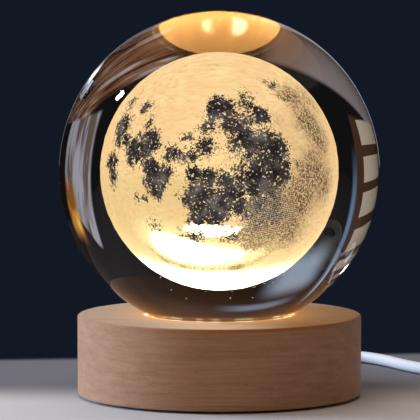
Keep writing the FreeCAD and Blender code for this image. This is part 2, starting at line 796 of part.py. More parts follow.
PARTS = {
    "crystal_ball": crystal_ball,
    "engraved_moon": engraved_moon,
    "wood_base": wood_base,
    "anti_slip_pad": anti_slip_pad,
    "bottom_cover": bottom_cover,
    "cover_screws": cover_screws,
    "led_board": led_board,
    "led_packages": led_packages,
    "led_windows": led_windows,
    "resistors": resistors,
    "board_screws": board_screws,
    "red_lead": lambda: lead(1, "red_lead"),
    "black_lead": lambda: lead(-1, "black_lead"),
    "solder_joints": solder_joints,
    "cord_sheath": cord_sheath,
    "cord_grommet": cord_grommet,
    "cable_tie": cable_tie,
    "cord_to_switch": lambda: routed_cord(cord_to_switch_points, "cord_to_switch"),
    "switch_lower_shell": lambda: at_switch(switch_lower_shell()),
    "switch_upper_shell": lambda: at_switch(switch_upper_shell()),
    "switch_rocker": lambda: at_switch(rocker()),
    "switch_terminals": lambda: at_switch(switch_terminals()),
    "switch_screws": lambda: at_switch(switch_screws()),
    "cord_to_coil": lambda: routed_cord(cord_to_coil_points, "cord_to_coil"),
    "cord_coil": cord_coil,
    "coil_strap": coil_strap,
    "cord_tail": lambda: routed_cord(cord_tail_points, "cord_tail"),
    "plug_grip": plug_grip,
    "plug_shell": plug_shell,
    "plug_tongue": plug_tongue,
    "plug_contacts": plug_contacts,
}

os.makedirs("parts", exist_ok=True)
for node_name, make in PARTS.items():
    make().exportStep(f"parts/{node_name}.step")
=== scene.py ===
import json
import math
import random

import bmesh
import bpy
from mathutils import Matrix, Vector


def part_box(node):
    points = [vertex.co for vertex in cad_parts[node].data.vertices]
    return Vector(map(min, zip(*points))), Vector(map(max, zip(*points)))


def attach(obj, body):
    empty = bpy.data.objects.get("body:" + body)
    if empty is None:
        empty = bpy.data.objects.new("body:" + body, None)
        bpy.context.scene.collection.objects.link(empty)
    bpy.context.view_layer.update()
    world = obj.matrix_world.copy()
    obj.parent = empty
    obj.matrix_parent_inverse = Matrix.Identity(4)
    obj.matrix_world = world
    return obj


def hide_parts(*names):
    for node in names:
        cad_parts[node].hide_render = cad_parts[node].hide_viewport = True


# A moon lamp: the finishes of a clear glass ball with a moon engraved inside it, of the turned beech base
# that lights it from below, and of its white power cord. Metres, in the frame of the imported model.

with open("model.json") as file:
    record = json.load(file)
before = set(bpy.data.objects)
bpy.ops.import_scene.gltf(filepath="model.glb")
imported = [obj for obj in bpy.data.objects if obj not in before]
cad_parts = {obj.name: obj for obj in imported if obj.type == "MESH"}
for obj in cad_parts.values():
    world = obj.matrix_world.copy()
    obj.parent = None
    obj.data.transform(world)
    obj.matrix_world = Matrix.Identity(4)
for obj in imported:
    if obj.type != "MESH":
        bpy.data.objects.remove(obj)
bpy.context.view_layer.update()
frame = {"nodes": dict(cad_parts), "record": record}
bpy.context.scene.view_settings.view_transform = "Standard"
MM = 0.001
NODE_SLOT = {part["node"]: part["material_slot"] for part in frame["record"]["subparts"]}
NODE_BODY = {node: body for body, nodes in frame["record"]["behaviour"]["bodies"].items() for node in nodes}


def middle_of(node):
    low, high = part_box(node)
    return (low + high) / 2


def half_height(node):
    low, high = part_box(node)
    return (high.z - low.z) / 2


BALL_CENTRE = middle_of("crystal_ball")
BALL_RADIUS = half_height("crystal_ball")
MOON_RADIUS = half_height("engraved_moon")
GLASS_IOR = 1.517
WOOD_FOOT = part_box("wood_base")[0].z
WOOD_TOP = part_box("wood_base")[1].z
BASE_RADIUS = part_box("wood_base")[1].x
WELL_RADIUS = 0.0165
SEAT_RIM = 0.0183
SEAT_DEPTH = 0.00087
POCKET_RADIUS = 0.025
REBATE_RADIUS = 0.032
BOARD_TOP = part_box("led_board")[1].z
COVER_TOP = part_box("bottom_cover")[1].z
HOT_SPOTS = 10                  # round the well's wall, as far apart as they look through the glass
FIRST_HOT_SPOT = math.radians(-76.4)

# ---- Camera ----

CAMERA_PLACE = Vector((-0.00233, -0.900, 0.11856))
CAMERA_TILT = 85.434
CAMERA_LENS = 309.56


def make_camera():
    camera = bpy.data.cameras.new("camera")
    camera.lens = CAMERA_LENS
    camera.clip_start = 0.01
    camera.clip_end = 20
    stand = bpy.data.objects.new("camera", camera)
    stand.location = CAMERA_PLACE
    stand.rotation_euler = (math.radians(CAMERA_TILT), 0, 0)
    bpy.context.scene.collection.objects.link(stand)
    bpy.context.scene.camera = stand


make_camera()


# ---- Materials ----

def screen(red, green, blue):
    """A colour given as it shows on a screen, 0 to 255 each, in the linear values that a shader takes."""
    def linear(level):
        share = level / 255
        return share / 12.92 if share <= 0.04045 else ((share + 0.055) / 1.055) ** 2.4
    return (linear(red), linear(green), linear(blue), 1.0)


class Link:
    """An output of one of a finish's nodes. Arithmetic on it adds Math nodes."""

    def __init__(self, finish, socket):
        self.finish = finish
        self.socket = socket

    def maths(self, operation, *values):
        return self.finish.maths(operation, *values)

    def __add__(self, other):
        return self.maths("ADD", self, other)

    def __sub__(self, other):
        return self.maths("SUBTRACT", self, other)

    def __rsub__(self, other):
        return self.maths("SUBTRACT", other, self)

    def __mul__(self, other):
        return self.maths("MULTIPLY", self, other)

    def __pow__(self, other):
        return self.maths("POWER", self, other)

    def at_least(self, other):
        return self.maths("MAXIMUM", self, other)

    def at_most(self, other):
        return self.maths("MINIMUM", self, other)

    __radd__ = __add__
    __rmul__ = __mul__


class Finish:
    """A procedural material: a Principled shader and the nodes that feed it."""

    def __init__(self, name, settings=None):
        self.material = bpy.data.materials.new(name)
        self.material.use_nodes = True
        self.tree = self.material.node_tree
        self.shader = self.tree.nodes["Principled BSDF"]
        for label, value in (settings or {}).items():
            self.shader.inputs[label].default_value = value

    def node(self, kind, settings=None, inputs=None, output=0):
        """A node: its settings are set first, then the values or links of its sockets."""
        node = self.tree.nodes.new("ShaderNode" + kind)
        for name, value in (settings or {}).items():
            if name == "stops":
                ramp = node.color_ramp.elements
                while len(ramp) < len(value):
                    ramp.new(1.0)
                for stop, (position, colour) in zip(ramp, value):
                    stop.position = position
                    stop.color = colour
            else:
                setattr(node, name, value)
        for name, value in (inputs or {}).items():
            if isinstance(value, Link):
                self.tree.links.new(value.socket, node.inputs[name])
            else:
                node.inputs[name].default_value = value
        return Link(self, node.outputs[output])

    def maths(self, operation, *values):
        return self.node("Math", {"operation": operation}, dict(enumerate(values)))

    def feed(self, label, link):
        self.tree.links.new(link.socket, self.shader.inputs[label])

    def place(self, scale=(1, 1, 1), shift=(0, 0, 0)):
        """Object coordinates in metres, scaled and then moved."""
        point = self.node("TexCoord", output="Object")
        return self.node("Mapping", None, {"Vector": point, "Scale": scale, "Location": shift})

    def place_mm(self):
        """Object coordinates in millimetres, and each of the three alone."""
        spot = self.place((1 / MM,) * 3)
        return (spot, *(self.dot(spot, axis) for axis in ((1, 0, 0), (0, 1, 0), (0, 0, 1))))

    def vector(self, operation, first, second):
        return self.node("VectorMath", {"operation": operation}, {0: first, 1: second})

    def length(self, vector):
        return self.node("VectorMath", {"operation": "LENGTH"}, {0: vector}, output=1)

    def distance(self, first, second):
        return self.node("VectorMath", {"operation": "DISTANCE"}, {0: first, 1: second}, output=1)

    def dot(self, first, second):
        return self.node("VectorMath", {"operation": "DOT_PRODUCT"}, {0: first, 1: second}, output=1)

    def noise(self, vector, scale, detail=2.0, roughness=0.5, output=0):
        inputs = {"Vector": vector, "Scale": scale, "Detail": detail, "Roughness": roughness}
        return self.node("TexNoise", None, inputs, output)

    def step(self, value, low, high):
        """0 on the low side and 1 on the high side, smooth between them."""
        return self.node("MapRange", {"interpolation_type": "SMOOTHSTEP"}, {0: value, 1: low, 2: high})

    def blend(self, share, first, second):
        return self.node("Mix", {"data_type": "RGBA"}, {0: share, 6: first, 7: second}, output=2)

    def lit(self, colour, level):
        """A colour times a level."""
        return self.node("VectorMath", {"operation": "SCALE"}, {0: colour, "Scale": level})

    def ramp(self, value, stops):
        return self.node("ValToRGB", {"stops": stops}, {0: value})

    def bump(self, height, distance, strength=1.0):
        inputs = {"Height": height, "Distance": distance, "Strength": strength}
        self.feed("Normal", self.node("Bump", None, inputs))


# Colours of the light painted on the well's wall and on its hot spots
WALL_COLOUR = (1.0, 0.48, 0.12, 1.0)
HOT_COLOUR = (1.0, 0.88, 0.50, 1.0)
LAMP_COLOUR = (1.0, 0.78, 0.45, 1.0)
BEECH_TONES = [(0.34, screen(154, 113, 84)), (0.50, screen(171, 129, 99)), (0.66, screen(183, 142, 112))]
FLECK_COLOUR = screen(128, 90, 68)
LAMPLIT_TOP_COLOUR = screen(176, 106, 40)
LAMPLIT_TOP_PLACE = (8.0, -26.0, WOOD_TOP / MM)      # mm: the middle of the top's painted lamplight, in front
SHEEN_TINT = (1.0, 0.82, 0.58, 1.0)
# How strong the painted glow is on the well's wall, and over the top
WALL_GLOW = 8.0
SPILL_GLOW = 0.20
GRAIN_DEPTH = 0.00005


def beech_grain(finish):
    """The wood's bands and fibres along X, and its dark flecks."""
    wander = finish.noise(finish.place((18, 26, 26)), 1.0, 2.0, output=1)
    along = finish.place((11, 230, 900))
    bent = finish.vector("ADD", along, finish.vector("MULTIPLY", wander, (0.0, 3.0, 5.0)))
    bands = finish.noise(bent, 1.0, 5.0, 0.66)
    fibres = finish.noise(finish.place((110, 3600, 5200)), 1.0, 2.0)
    flecks = finish.step(finish.noise(finish.place((300, 1500, 2400)), 1.0, 1.0), 0.67, 0.75)
    return bands, fibres, flecks


def hot_spots(finish, across, along, height):
    """How near a point of the well's wall is to a painted hot spot of the lights' glow. Those towards -X are
    wider and stronger.
    """
    light_turn = finish.maths("ARCTAN2", along, across) * HOT_SPOTS - HOT_SPOTS * FIRST_HOT_SPOT
    wider = finish.step(across, 4.0, -6.0)
    near_light = (finish.maths("COSINE", light_turn) * 0.5 + 0.5) ** (4.6 - wider * 2.9)
    low_down = finish.step(height - wider * 0.6, 15.9, 14.5)
    return near_light * low_down * low_down * (0.75 + wider * 0.65)


def turned_beech():
    """Oiled beech with its grain along X, with the lamp's warm light painted on where it falls: a golden colour
    and a glow.
    """
    finish = Finish("turned_beech", {
        "Specular IOR Level": 0.25, "Sheen Weight": 0.35, "Sheen Roughness": 0.5, "Sheen Tint": SHEEN_TINT,
        "Emission Strength": 1.0})
    bands, fibres, flecks = beech_grain(finish)
    wood = finish.ramp(bands * 0.7 + fibres * 0.3, BEECH_TONES)
    wood = finish.blend(flecks * 0.35, wood, FLECK_COLOUR)
    finish.feed("Roughness", 0.46 + fibres * 0.16 - flecks * 0.06)

    # Painted light: the well's wall glows as if the lights lit it, and so does the thin bright ring where the
    # ball stands
    spot, across, along, height = finish.place_mm()
    reach = finish.length(finish.vector("MULTIPLY", spot, (1, 1, 0)))
    wall, rim = WELL_RADIUS / MM, SEAT_RIM / MM
    hot = hot_spots(finish, across, along, height)
    cloudy = finish.noise(finish.place((190, 190, 420)), 1.0, 2.0)
    inside = finish.step(reach, wall + 0.5, wall + 0.2)
    on_seat = finish.step(reach, rim + 1.3, rim + 0.3) - inside
    from_rim = finish.maths("ABSOLUTE", reach - (rim + 0.15))
    # Painted glints: bright dashes along the seat's rim
    dashes = finish.step(finish.noise(finish.place((230, 230, 90)), 1.0, 2.0), 0.46, 0.62)
    dashes = dashes * finish.step(from_rim, 0.75, 0.15)

    # Painted light: the lamp's light that spills over the top, painted on as a glow and as a golden colour near
    # the ball and in front
    top = WOOD_TOP / MM
    fall = finish.step(reach, BASE_RADIUS / MM + 1.0, rim - 4.0)
    on_top = finish.step(height, top - 1.3, top - 0.5)
    spill = on_top * fall * fall * SPILL_GLOW * (0.8 + bands * 0.4)
    in_front = finish.step(finish.distance(spot, LAMPLIT_TOP_PLACE), 34.0, 8.0)
    # Painted lamplight: the top's colour turns golden near the ball and in front
    painted_lamplight = on_top * in_front.at_least(finish.step(fall, 0.3, 0.9))
    finish.feed("Base Color", finish.blend(painted_lamplight * 0.9, wood, LAMPLIT_TOP_COLOUR))

    # The painted glow of the wall, the seat's ring and the top, given as emission
    above_board = finish.step(height, BOARD_TOP / MM - 0.1, BOARD_TOP / MM + 0.1)
    wall_glow = inside * (0.75 + cloudy * 0.5 + hot * 1.6) * WALL_GLOW
    glow = above_board * (wall_glow + on_seat * (0.42 + dashes * 1.5)) + spill
    tint = finish.blend(hot.at_least(on_seat * dashes * 0.9), WALL_COLOUR, HOT_COLOUR)
    finish.feed("Emission Color", finish.lit(tint, glow))
    finish.bump(bands * 0.4 + fibres * 0.7 - flecks * 0.5, GRAIN_DEPTH)
    return finish.material


def crystal_glass():
    """Clear optical glass, with the faintest smears on its surface."""
    finish = Finish("crystal_glass", {"IOR": GLASS_IOR, "Transmission Weight": 1.0})
    smear = finish.step(finish.noise(finish.place((60, 60, 25)), 1.0, 4.0, 0.6), 0.62, 0.80)
    finish.feed("Roughness", smear * 0.012)
    finish.feed("Base Color", finish.blend(smear, (1, 1, 1, 1), (0.985, 0.99, 0.995, 1)))
    return finish.material


def view_axes():
    """Directions at the ball's centre: towards the camera, to the right in its view, and up in it."""
    near = (CAMERA_PLACE - BALL_CENTRE).normalized()
    across = Vector((0, 0, 1)).cross(near).normalized()
    return near, across, near.cross(across)


def seen_through_glass(right, up):
    """The direction from the moon's centre to what shows at a place on its disc, in shares of the disc's
    radius. The glass bends the view, so a little more than the near half of the moon shows."""
    share = math.hypot(right, up)
    height = share * MOON_RADIUS * GLASS_IOR
    turned_in = math.asin(height / BALL_RADIUS) - math.asin(height / GLASS_IOR / BALL_RADIUS)
    angle = turned_in + math.asin(min(1.0, share))
    near, across, raised = view_axes()
    side = (across * right + raised * up) / max(share, 1e-6)
    return near * math.cos(angle) + side * math.sin(angle)


# The moon's dark plains, as its disc shows them: right, up, radius and depth, in shares of its radius
PLAINS = [
    (0.01, 0.53, 0.11, 1.2), (-0.05, 0.47, 0.08, 0.9), (-0.09, 0.38, 0.07, 0.6), (0.33, 0.45, 0.095, 1.1),
    (0.22, 0.55, 0.08, 0.45), (0.21, 0.61, 0.06, 0.35), (0.08, 0.38, 0.10, 0.8), (0.18, 0.33, 0.11, 0.8),
    (0.18, 0.43, 0.09, 0.5), (0.26, 0.23, 0.12, 0.8), (0.14, 0.22, 0.09, 0.55), (0.39, 0.24, 0.12, 0.95),
    (0.49, 0.19, 0.11, 0.9), (0.22, 0.13, 0.09, 0.5), (0.46, 0.05, 0.15, 1.3), (0.36, 0.03, 0.14, 1.1),
    (0.33, -0.07, 0.15, 1.0), (0.50, -0.05, 0.11, 0.8), (0.28, -0.13, 0.12, 0.7), (0.42, -0.19, 0.13, 0.8),
    (0.34, -0.28, 0.12, 0.9), (0.27, -0.36, 0.09, 0.7), (0.45, -0.34, 0.11, 0.6), (0.35, -0.42, 0.09, 0.5),
    (-0.18, -0.21, 0.13, 1.1), (-0.07, -0.28, 0.15, 1.3), (0.05, -0.23, 0.12, 1.0),
    (0.16, -0.29, 0.09, 0.9), (-0.18, -0.36, 0.09, 0.9), (-0.05, -0.38, 0.09, 1.0), (0.02, -0.37, 0.07, 0.9),
    (-0.20, -0.03, 0.08, 0.9), (-0.08, -0.07, 0.09, 0.8), (0.05, -0.09, 0.10, 0.6), (0.17, -0.01, 0.08, 0.45),
    (0.13, -0.16, 0.10, 0.7), (0.19, -0.08, 0.08, 0.6), (-0.58, 0.24, 0.11, 1.3), (-0.69, 0.18, 0.11, 1.1),
    (-0.61, 0.12, 0.08, 0.6), (-0.73, 0.09, 0.06, 0.5), (-0.56, 0.02, 0.09, 1.0), (-0.51, -0.06, 0.12, 1.3),
    (-0.52, -0.16, 0.08, 1.1), (-0.44, 0.00, 0.07, 0.8), (-0.38, 0.13, 0.08, 0.9), (-0.30, 0.11, 0.06, 0.6),
    (-0.12, 0.21, 0.09, 0.65), (-0.26, 0.27, 0.05, 0.5), (-0.22, 0.12, 0.06, 0.5), (-0.59, 0.40, 0.05, 0.5),
    (-0.80, 0.38, 0.10, 0.9), (-0.82, 0.30, 0.09, 0.9), (-0.77, 0.26, 0.06, 0.6), (-0.60, 0.53, 0.06, 0.8),
    (-0.73, 0.56, 0.06, 0.35), (-0.89, 0.06, 0.08, 0.8), (-0.89, 0.00, 0.08, 0.9), (-0.885, -0.05, 0.07, 0.7),
    (-0.68, -0.22, 0.04, 0.5),
    (-0.60, -0.22, 0.04, 0.45), (0.66, 0.06, 0.035, 0.45), (0.53, 0.62, 0.035, 0.4),
    (0.43, 0.71, 0.06, 0.35),
    (-0.54, -0.45, 0.06, 0.4), (-0.20, -0.54, 0.08, 0.45), (-0.28, -0.53, 0.05, 0.35), (0.10, -0.54, 0.07, 0.5),
    (0.02, -0.55, 0.05, 0.3)]
# The same for where its uplands turn dim and grainy
DIM_PLACES = [
    (0.74, 0.60, 0.22, 0.5), (0.82, 0.28, 0.20, 0.8), (0.78, 0.00, 0.24, 0.9), (0.66, -0.24, 0.26, 1.0),
    (0.42, -0.34, 0.24, 1.2), (0.34, -0.50, 0.24, 1.1), (0.56, -0.48, 0.24, 0.9), (0.55, 0.66, 0.16, 0.35),
    (0.24, -0.62, 0.12, 0.9), (0.47, 0.42, 0.14, 0.3), (-0.44, -0.76, 0.06, 0.7), (-0.26, -0.82, 0.08, 0.9),
    (-0.06, -0.84, 0.08, 0.9), (0.14, -0.81, 0.09, 1.0), (0.72, 0.42, 0.20, 0.9), (0.62, 0.60, 0.19, 0.8),
    (0.86, -0.12, 0.20, 0.7)]
PATCH_SPREAD = 1.22
PATCH_DEPTH = 1.15
UPLAND_TONES = [(0.28, screen(216, 174, 120)), (0.44, screen(243, 204, 145)), (0.62, screen(253, 220, 161))]
UPLAND_PATCH = screen(244, 196, 140)
UPLAND_MIDDLE = screen(255, 228, 158)
DIM_GAP, DIM_DOT = screen(90, 66, 50), screen(232, 194, 142)
PEPPER = screen(58, 46, 40)
HOLLOW_TONES = [(0.36, screen(32, 28, 31)), (0.52, screen(56, 50, 51)), (0.72, screen(104, 98, 96))]
HOLLOW_SPECK = screen(120, 96, 76)
GREY_GAP, GREY_DOT = screen(44, 38, 38), screen(186, 162, 134)
SPARK = screen(255, 238, 190)
# Tints of the lamp's light painted on the moon
LOWER_LEFT_TINT = screen(240, 210, 134)
HALO_TINT = screen(248, 236, 170)
BELT_TINT = screen(168, 140, 78)
BRIGHT_TINT = screen(255, 240, 196)
MOON_GLOW = 1.06
MOON_DAYLIGHT = 0.12            # how much of its colour the moon shows in the light of the room


def patches(finish, point, places):
    """How deep in the nearest of those places a point of the moon is: 0 at its edge, over 1 within."""
    depth = None
    for right, up, radius, full_depth in places:
        away = finish.distance(point, tuple(seen_through_glass(right, up)))
        slope = -full_depth / (radius * PATCH_SPREAD)
        share = finish.maths("MULTIPLY_ADD", away, slope, PATCH_DEPTH * full_depth)
        depth = share if depth is None else finish.maths("SMOOTH_MAX", depth, share, 0.12)
    return depth


def moon_engraving():
    """Fine white cracks, denser on the moon's uplands, with the clear glass of its plains. The lamp's warm
    light on them is painted on as a glow.
    """
    finish = Finish("moon_engraving", {"Roughness": 0.9, "Specular IOR Level": 0.0, "Emission Strength": 1.0})
    size = 1 / MOON_RADIUS
    spot = finish.place((size, size, size), shift=tuple(-BALL_CENTRE * size))

    def elsewhere(*shift):
        return finish.vector("ADD", spot, shift)

    def from_place(right, up):
        return finish.vector("SUBTRACT", spot, tuple(seen_through_glass(right, up)))

    # The plains, with ragged edges and sparks of cracks in them
    broad = finish.noise(spot, 7.0, 2.0, output=1)
    fine = finish.noise(spot, 24.0, 2.0, output=1)
    warp = finish.vector("ADD", finish.vector("MULTIPLY", broad, (0.16, 0.16, 0.16)),
                         finish.vector("MULTIPLY", fine, (0.08, 0.08, 0.08)))
    bent = finish.vector("ADD", spot, finish.vector("SUBTRACT", warp, (0.12, 0.12, 0.12)))
    specks = finish.noise(spot, 62.0, 2.0, 0.7)
    grains = finish.noise(elsewhere(4.1, 0.3, 2.2), 50.0, 1.0, 0.6)
    grit = finish.noise(spot, 27.0, 3.0, 0.7)
    depth = patches(finish, bent, PLAINS)
    ragged = depth + (specks - 0.5) * 1.5 + (grit - 0.5) * 1.7
    plain = finish.step(ragged, 0.10, 0.22)
    sparks = finish.step(finish.noise(elsewhere(3.1, 1.7, 0.4), 36.0, 3.0, 0.65), 0.60, 0.65)
    plain = plain * (1 - sparks * finish.step(depth, 1.8, 0.6))

    near, _, raised = view_axes()
    up = finish.dot(spot, tuple(raised))
    right = finish.dot(spot, (1, 0, 0))
    near_side = finish.dot(spot, tuple(near))

    # The uplands, and where they turn dim: dots of cracks, in slanting rows at the lower right
    ridges = finish.noise(finish.vector("MULTIPLY", spot, (6.0, 16.0, 30.0)), 1.0, 5.0, 0.68)
    upland = finish.ramp(ridges, UPLAND_TONES)
    patchy = finish.step(finish.noise(spot, 2.6, 3.0), 0.40, 0.62)
    upland = finish.blend(patchy * 0.45, upland, UPLAND_PATCH)
    middle = finish.step(finish.length(from_place(-0.05, 0.02)), 0.62, 0.15)
    upland = finish.blend(middle * finish.step(grit, 0.40, 0.58) * 0.85, upland, UPLAND_MIDDLE)
    dim = finish.step(patches(finish, bent, DIM_PLACES) + (grit - 0.5) * 0.6, 0.05, 0.75)
    slant = finish.dot(spot, (120.0, 0.0, 205.0)) + (grit - 0.5) * 10.0
    cross_slant = finish.dot(spot, (190.0, 0.0, -120.0)) + (grit - 0.5) * 16.0
    rows = finish.maths("SINE", slant) * finish.maths("SINE", cross_slant)
    ordered = finish.step(finish.length(from_place(0.42, -0.34)), 0.42, 0.16)
    grain = (grains - 0.5) * (3.6 - ordered * 2.4) + rows * ordered
    dots = finish.step(grain, -0.16, 0.26)
    upland = finish.blend(dim * 0.9, upland, finish.blend(dots, DIM_GAP, DIM_DOT))
    pepper = finish.step(finish.noise(elsewhere(0.7, 2.9, 5.3), 48.0, 1.0, 0.6), 0.60, 0.66)
    upland = finish.blend(pepper * finish.step(depth, -0.55, 0.05) * 0.85, upland, PEPPER)

    # The clear glass in the plains, and the few plains of the far side
    hollow = finish.ramp(finish.noise(spot, 8.0, 3.0), HOLLOW_TONES)
    hollow = finish.blend(finish.step(specks, 0.60, 0.72) * 0.5, hollow, HOLLOW_SPECK)
    far_side = finish.step(finish.noise(spot, 2.1, 4.0, 0.6) + (grit - 0.5) * 0.12, 0.585, 0.60)
    plain = plain.at_least(far_side * finish.step(near_side, -0.35, -0.5))
    grey_rows = finish.blend(dots, GREY_GAP, GREY_DOT)
    face = finish.blend(plain, upland, finish.blend(dim * finish.step(depth, 1.1, 0.5), hollow, grey_rows))
    near_plain = finish.step(depth, -0.5, 0.1) * (1 - plain)
    face = finish.blend(sparks * near_plain * 0.9, face, SPARK)

    # Painted light of the lamp: a pool with a lobe above it and a belt below, and the burning foot
    pool = finish.length(finish.vector("MULTIPLY", from_place(-0.345, -0.645), (1.48, 5.8, 5.8)))
    lobe = finish.length(finish.vector("MULTIPLY", from_place(-0.10, -0.485), (3.3, 14.0, 14.0)))
    lobe = lobe + (grit - 0.5) * 1.6
    halo = finish.step(pool + (grit - 0.5) * 0.5, 2.3, 0.9)
    belt = finish.step(finish.maths("ABSOLUTE", pool + (grit - 0.5) * 0.4 - 1.42), 0.26, 0.04)
    belt = belt * finish.step(up, -0.62, -0.74) * finish.step(specks, 0.40, 0.56)
    pool = finish.step(pool.at_most(lobe.at_least(plain * 2)) + (grit - 0.5) * 0.35, 1.14, 0.86)
    foot = finish.node("CombineXYZ", None, {0: (right + 0.03) * 1.62, 1: (near_side + 0.15) * 2.08})
    foot = finish.length(foot) + (grit - 0.5) * 0.22
    below = finish.step(up, 0.0, -0.5)
    halo = halo.at_least(finish.step(foot, 1.55, 1.0) * 0.8) * below * (1 - dim * 0.75)
    foot = finish.step(foot, 1.14, 0.88) * below
    bright = pool.at_least(foot) * (1 - belt * 0.85)
    # Painted light and shade on the glow: warmer lower down, darker to the right and at the lower left
    warmth = finish.step(up, 0.1, -0.75) * (1 - dim * 0.8)
    shade = finish.step(right - up * 0.2, 0.25, 0.9) * finish.step(near_side, -0.3, 0.3)
    lower_left = finish.step(up, 0.15, -0.25) * finish.step(right, 0.1, -0.5)
    glow = 1.02 + warmth * 0.12 - shade * 0.24 - dim * 0.06 - lower_left * 0.16 + halo * 0.2 + bright * 2.6
    face = finish.blend(lower_left * (1 - plain) * 0.4, face, LOWER_LEFT_TINT)
    face = finish.blend(halo * (1 - plain) * 0.75, face, HALO_TINT)
    face = finish.blend(belt * 0.75, face, BELT_TINT)
    shown = finish.blend(bright * 0.92, face, BRIGHT_TINT)
    finish.feed("Base Color", finish.lit(shown, MOON_DAYLIGHT))
    finish.feed("Emission Color", finish.lit(shown, glow * MOON_GLOW))
    return finish.material


def darker(colour, share):
    return tuple(share * level for level in colour[:3]) + (1,)


def moulded(name, colour, roughness=0.4, grain=1400.0, depth=0.00002):
    """Injection-moulded plastic with a faint eggshell texture and slight clouding."""
    finish = Finish(name, {"Specular IOR Level": 0.45})
    spot = finish.place()
    cloud = finish.noise(spot, 90.0, 3.0)
    finish.feed("Base Color", finish.blend(cloud * 0.5, colour, darker(colour, 0.86)))
    shell = finish.noise(spot, grain, 2.0)
    finish.feed("Roughness", roughness + (shell - 0.5) * 0.16)
    finish.bump(shell, depth)
    return finish.material


def metal(name, colour, roughness=0.3, scratch=(400, 9000, 400)):
    """Plated or rolled metal with fine scratches one way."""
    finish = Finish(name, {"Metallic": 1.0})
    lines = finish.noise(finish.place(scratch), 1.0, 3.0)
    finish.feed("Base Color", finish.blend(lines * 0.4, colour, darker(colour, 0.7)))
    finish.feed("Roughness", roughness + (lines - 0.5) * 0.2)
    finish.bump(lines, 0.000008)
    return finish.material


def phosphor():
    """The lights' yellow windows, burning warm white."""
    finish = Finish("led_phosphor", {"Base Color": screen(250, 214, 110), "Roughness": 0.4,
                                     "Emission Strength": 60.0})
    mottle = finish.noise(finish.place(), 3000.0, 2.0)
    finish.feed("Emission Color", finish.blend(mottle, LAMP_COLOUR, screen(255, 196, 118)))
    return finish.material


FINISHES = {
    "moon_engraving": moon_engraving,
    "crystal_glass": crystal_glass,
    "turned_beech": turned_beech,
    "pad_foam": lambda: moulded("pad_foam", screen(58, 56, 54), 0.9, 2600.0, 0.00012),
    "cover_plastic": lambda: moulded("cover_plastic", screen(38, 37, 36), 0.5),
    "screw_steel": lambda: metal("screw_steel", screen(176, 176, 178), 0.3),
    "board_white": lambda: moulded("board_white", screen(228, 228, 222), 0.35, 2200.0, 0.000012),
    "led_ceramic": lambda: moulded("led_ceramic", screen(240, 238, 228), 0.4),
    "led_phosphor": phosphor,
    "resistor_black": lambda: moulded("resistor_black", screen(30, 30, 32), 0.35),
    "lead_red": lambda: moulded("lead_red", screen(176, 28, 24), 0.4),
    "lead_black": lambda: moulded("lead_black", screen(28, 28, 30), 0.4),
    "solder_tin": lambda: metal("solder_tin", screen(190, 190, 194), 0.25, (900, 900, 900)),
    "cord_white": lambda: moulded("cord_white", screen(226, 226, 224), 0.42, 1800.0, 0.00003),
    "grommet_white": lambda: moulded("grommet_white", screen(222, 222, 219), 0.5),
    "tie_nylon": lambda: moulded("tie_nylon", screen(232, 230, 220), 0.35),
    "switch_white": lambda: moulded("switch_white", screen(232, 232, 230), 0.36),
    "rocker_white": lambda: moulded("rocker_white", screen(238, 238, 236), 0.3),
    "terminal_brass": lambda: metal("terminal_brass", screen(206, 168, 92), 0.3),
    "strap_fabric": lambda: moulded("strap_fabric", screen(226, 224, 220), 0.85, 5200.0, 0.00016),
    "plug_white": lambda: moulded("plug_white", screen(230, 230, 228), 0.4),
    "plug_steel": lambda: metal("plug_steel", screen(198, 198, 202), 0.24, (500, 60, 500)),
    "tongue_plastic": lambda: moulded("tongue_plastic", screen(238, 238, 236), 0.4),
    "contact_gilt": lambda: metal("contact_gilt", screen(226, 190, 110), 0.2),
}
finishes = {name: make() for name, make in FINISHES.items()}


# ---- Pieces ----

def show(data, name, body, slot, stands_for=()):
    """Makes a mesh or a curve a piece of the lamp: it rides on its body and stands for those nodes."""
    data.materials.append(finishes[slot])
    piece = bpy.data.objects.new(name, data)
    bpy.context.scene.collection.objects.link(piece)
    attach(piece, body)
    if stands_for:
        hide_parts(*stands_for)
    return piece


def meshed(shape, name):
    """A bmesh as smooth-shaded mesh data."""
    data = bpy.data.meshes.new(name)
    shape.to_mesh(data)
    shape.free()
    data.shade_smooth()
    return data


def turned(outline, steps):
    """A closed outline of (reach, height), spun about the Z axis."""
    shape = bmesh.new()
    ring = [shape.verts.new((reach, 0, height)) for reach, height in outline]
    edges = [shape.edges.new(pair) for pair in zip(ring, ring[1:] + ring[:1])]
    bmesh.ops.spin(shape, geom=ring + edges, cent=(0, 0, 0), axis=(0, 0, 1), angle=math.tau, steps=steps,
                   use_merge=True)
    bmesh.ops.remove_doubles(shape, verts=shape.verts, dist=1e-7)
    bmesh.ops.recalc_face_normals(shape, faces=shape.faces)
    return shape


def soften(shape, width, sharp=30.0, segments=3, keep=lambda edge: True):
    """Rounds a shape's sharp edges."""
    edges = [edge for edge in shape.edges
             if edge.is_manifold and edge.calc_face_angle() > math.radians(sharp) and keep(edge)]
    bmesh.ops.bevel(shape, geom=edges, offset=width, offset_type="OFFSET", segments=segments, profile=0.5,
                    affect="EDGES", clamp_overlap=True, material=-1)


def even_shading(piece):
    """Broad faces keep their flat shading, and the rounding between them turns the light."""
    weigh = piece.modifiers.new("even_shading", "WEIGHTED_NORMAL")
    weigh.keep_sharp = True
    weigh.weight = 100


# The free cord: the routes of the two stretches and of the coil between them

